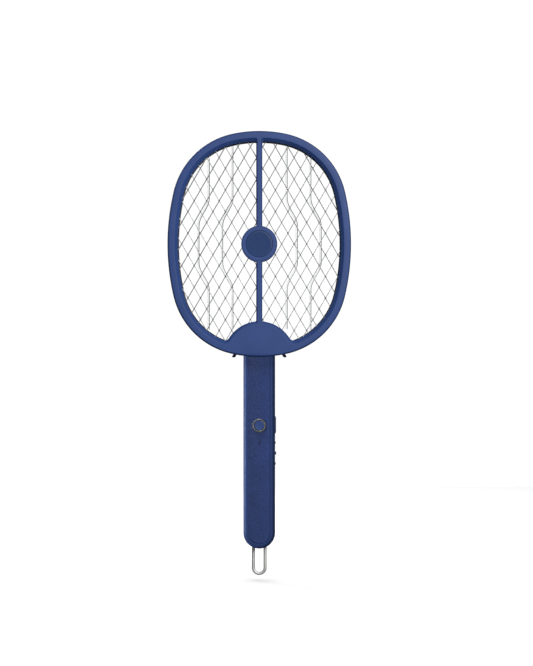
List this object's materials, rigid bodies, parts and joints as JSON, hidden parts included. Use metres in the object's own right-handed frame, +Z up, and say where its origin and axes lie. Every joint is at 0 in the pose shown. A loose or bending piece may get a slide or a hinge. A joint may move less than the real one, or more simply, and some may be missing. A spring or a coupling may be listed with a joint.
{
  "type": "electric fly swatter",
  "caption": "Folding electric fly swatter: oval three-layer mesh head with a centre hub on a slim battery handle, with push buttons, a slide switch and a wire hanging loop.",
  "frame": {"origin": "middle of the hand grip, at the middle of the handle's width and depth", "axes": "+Z up along the handle to the head, -Y out of the front face, +X to the right as seen from the front"},
  "size_m": [0.2, 0.0298, 0.4847],
  "materials": {
    "frame_blue": "satin moulded plastic",
    "rear_blue": "satin moulded plastic",
    "handle_blue": "fine matt moulded plastic",
    "leather_blue": "leather-grain grip panel",
    "disc_blue": "finely ringed plastic",
    "button_blue": "smooth satin plastic",
    "trim_blue": "satin plastic",
    "ring_metal": "anodised, fine turned",
    "mesh_steel": "drawn wire",
    "grid_steel": "drawn wire",
    "loop_steel": "polished wire",
    "pin_steel": "turned",
    "screw_steel": "plated",
    "carrier_black": "moulded insulating plastic",
    "knuckle_black": "moulded nylon",
    "spacer_clear": "clear insulating plastic",
    "lens_violet": "tinted lamp lens",
    "light_pipe": "clear plastic",
    "nylon_white": "plain nylon",
    "board_green": "glass-fibre circuit board",
    "led_white": "LED body",
    "copper_coil": "taped coil",
    "capacitor_red": "dipped film capacitor",
    "chip_black": "moulded package",
    "cell_green": "sleeved cell",
    "contact_brass": "nickel-plated strip",
    "lead_insulation": "insulated lead",
    "socket_steel": "stamped shell"
  },
  "bodies": {
    "handle": {"handle_front_shell": "handle_blue", "handle_rear_shell": "handle_blue", "grip_panel": "leather_blue", "hinge_knuckle": "knuckle_black", "detent_ball": "pin_steel", "detent_spring": "pin_steel", "main_board": "board_green", "hv_transformer": "copper_coil", "hv_capacitor": "capacitor_red", "multiplier_diodes": "chip_black", "drive_transistor": "chip_black", "battery_cell": "cell_green", "battery_contacts": "contact_brass", "battery_leads": "lead_insulation", "output_leads": "lead_insulation", "charge_socket": "socket_steel", "button_ring": "ring_metal", "front_tact_switch": "chip_black", "side_tact_switch": "chip_black", "slide_switch_body": "socket_steel", "indicator_light_pipes": "light_pipe", "indicator_leds": "led_white", "handle_screws": "screw_steel", "loop_bracket": "knuckle_black", "loop_pin": "pin_steel"},
    "head": {"front_frame": "frame_blue", "rear_frame": "rear_blue", "front_guard_mesh": "mesh_steel", "high_voltage_grid": "grid_steel", "rear_guard_mesh": "mesh_steel", "front_carrier": "carrier_black", "rear_carrier": "carrier_black", "front_spacer_ribs": "spacer_clear", "rear_spacer_ribs": "spacer_clear", "hub_disc": "disc_blue", "lamp_board": "board_green", "lamp_leds": "led_white", "lamp_lens": "lens_violet", "head_screws": "screw_steel", "hinge_axle": "pin_steel", "axle_clips": "screw_steel", "friction_washers": "nylon_white", "grid_leads": "lead_insulation"},
    "front_button": {"front_button": "button_blue"},
    "side_button": {"side_button": "trim_blue"},
    "mode_knob": {"mode_switch_knob": "trim_blue"},
    "loop": {"hanging_loop": "loop_steel"}
  },
  "joints": [
    {"name": "head_fold", "type": "hinge", "parent": "handle", "child": "head", "pos_m": [0, 0, 0.121], "axis": [-1, 0, 0], "range_deg": [0, 90]},
    {"name": "front_button_press", "type": "slide", "parent": "handle", "child": "front_button", "axis": [0, 1, 0], "range_m": [0, 0.001], "stiffness_N_per_m": 1500},
    {"name": "side_button_press", "type": "slide", "parent": "handle", "child": "side_button", "axis": [-1, 0, 0], "range_m": [0, 0.0008], "stiffness_N_per_m": 1800},
    {"name": "mode_switch_slide", "type": "slide", "parent": "handle", "child": "mode_knob", "axis": [0, 0, 1], "range_m": [-0.004, 0.004]},
    {"name": "loop_swing", "type": "hinge", "parent": "handle", "child": "loop", "pos_m": [0, 0, -0.086], "axis": [1, 0, 0], "range_deg": [-25, 25]}
  ]
}
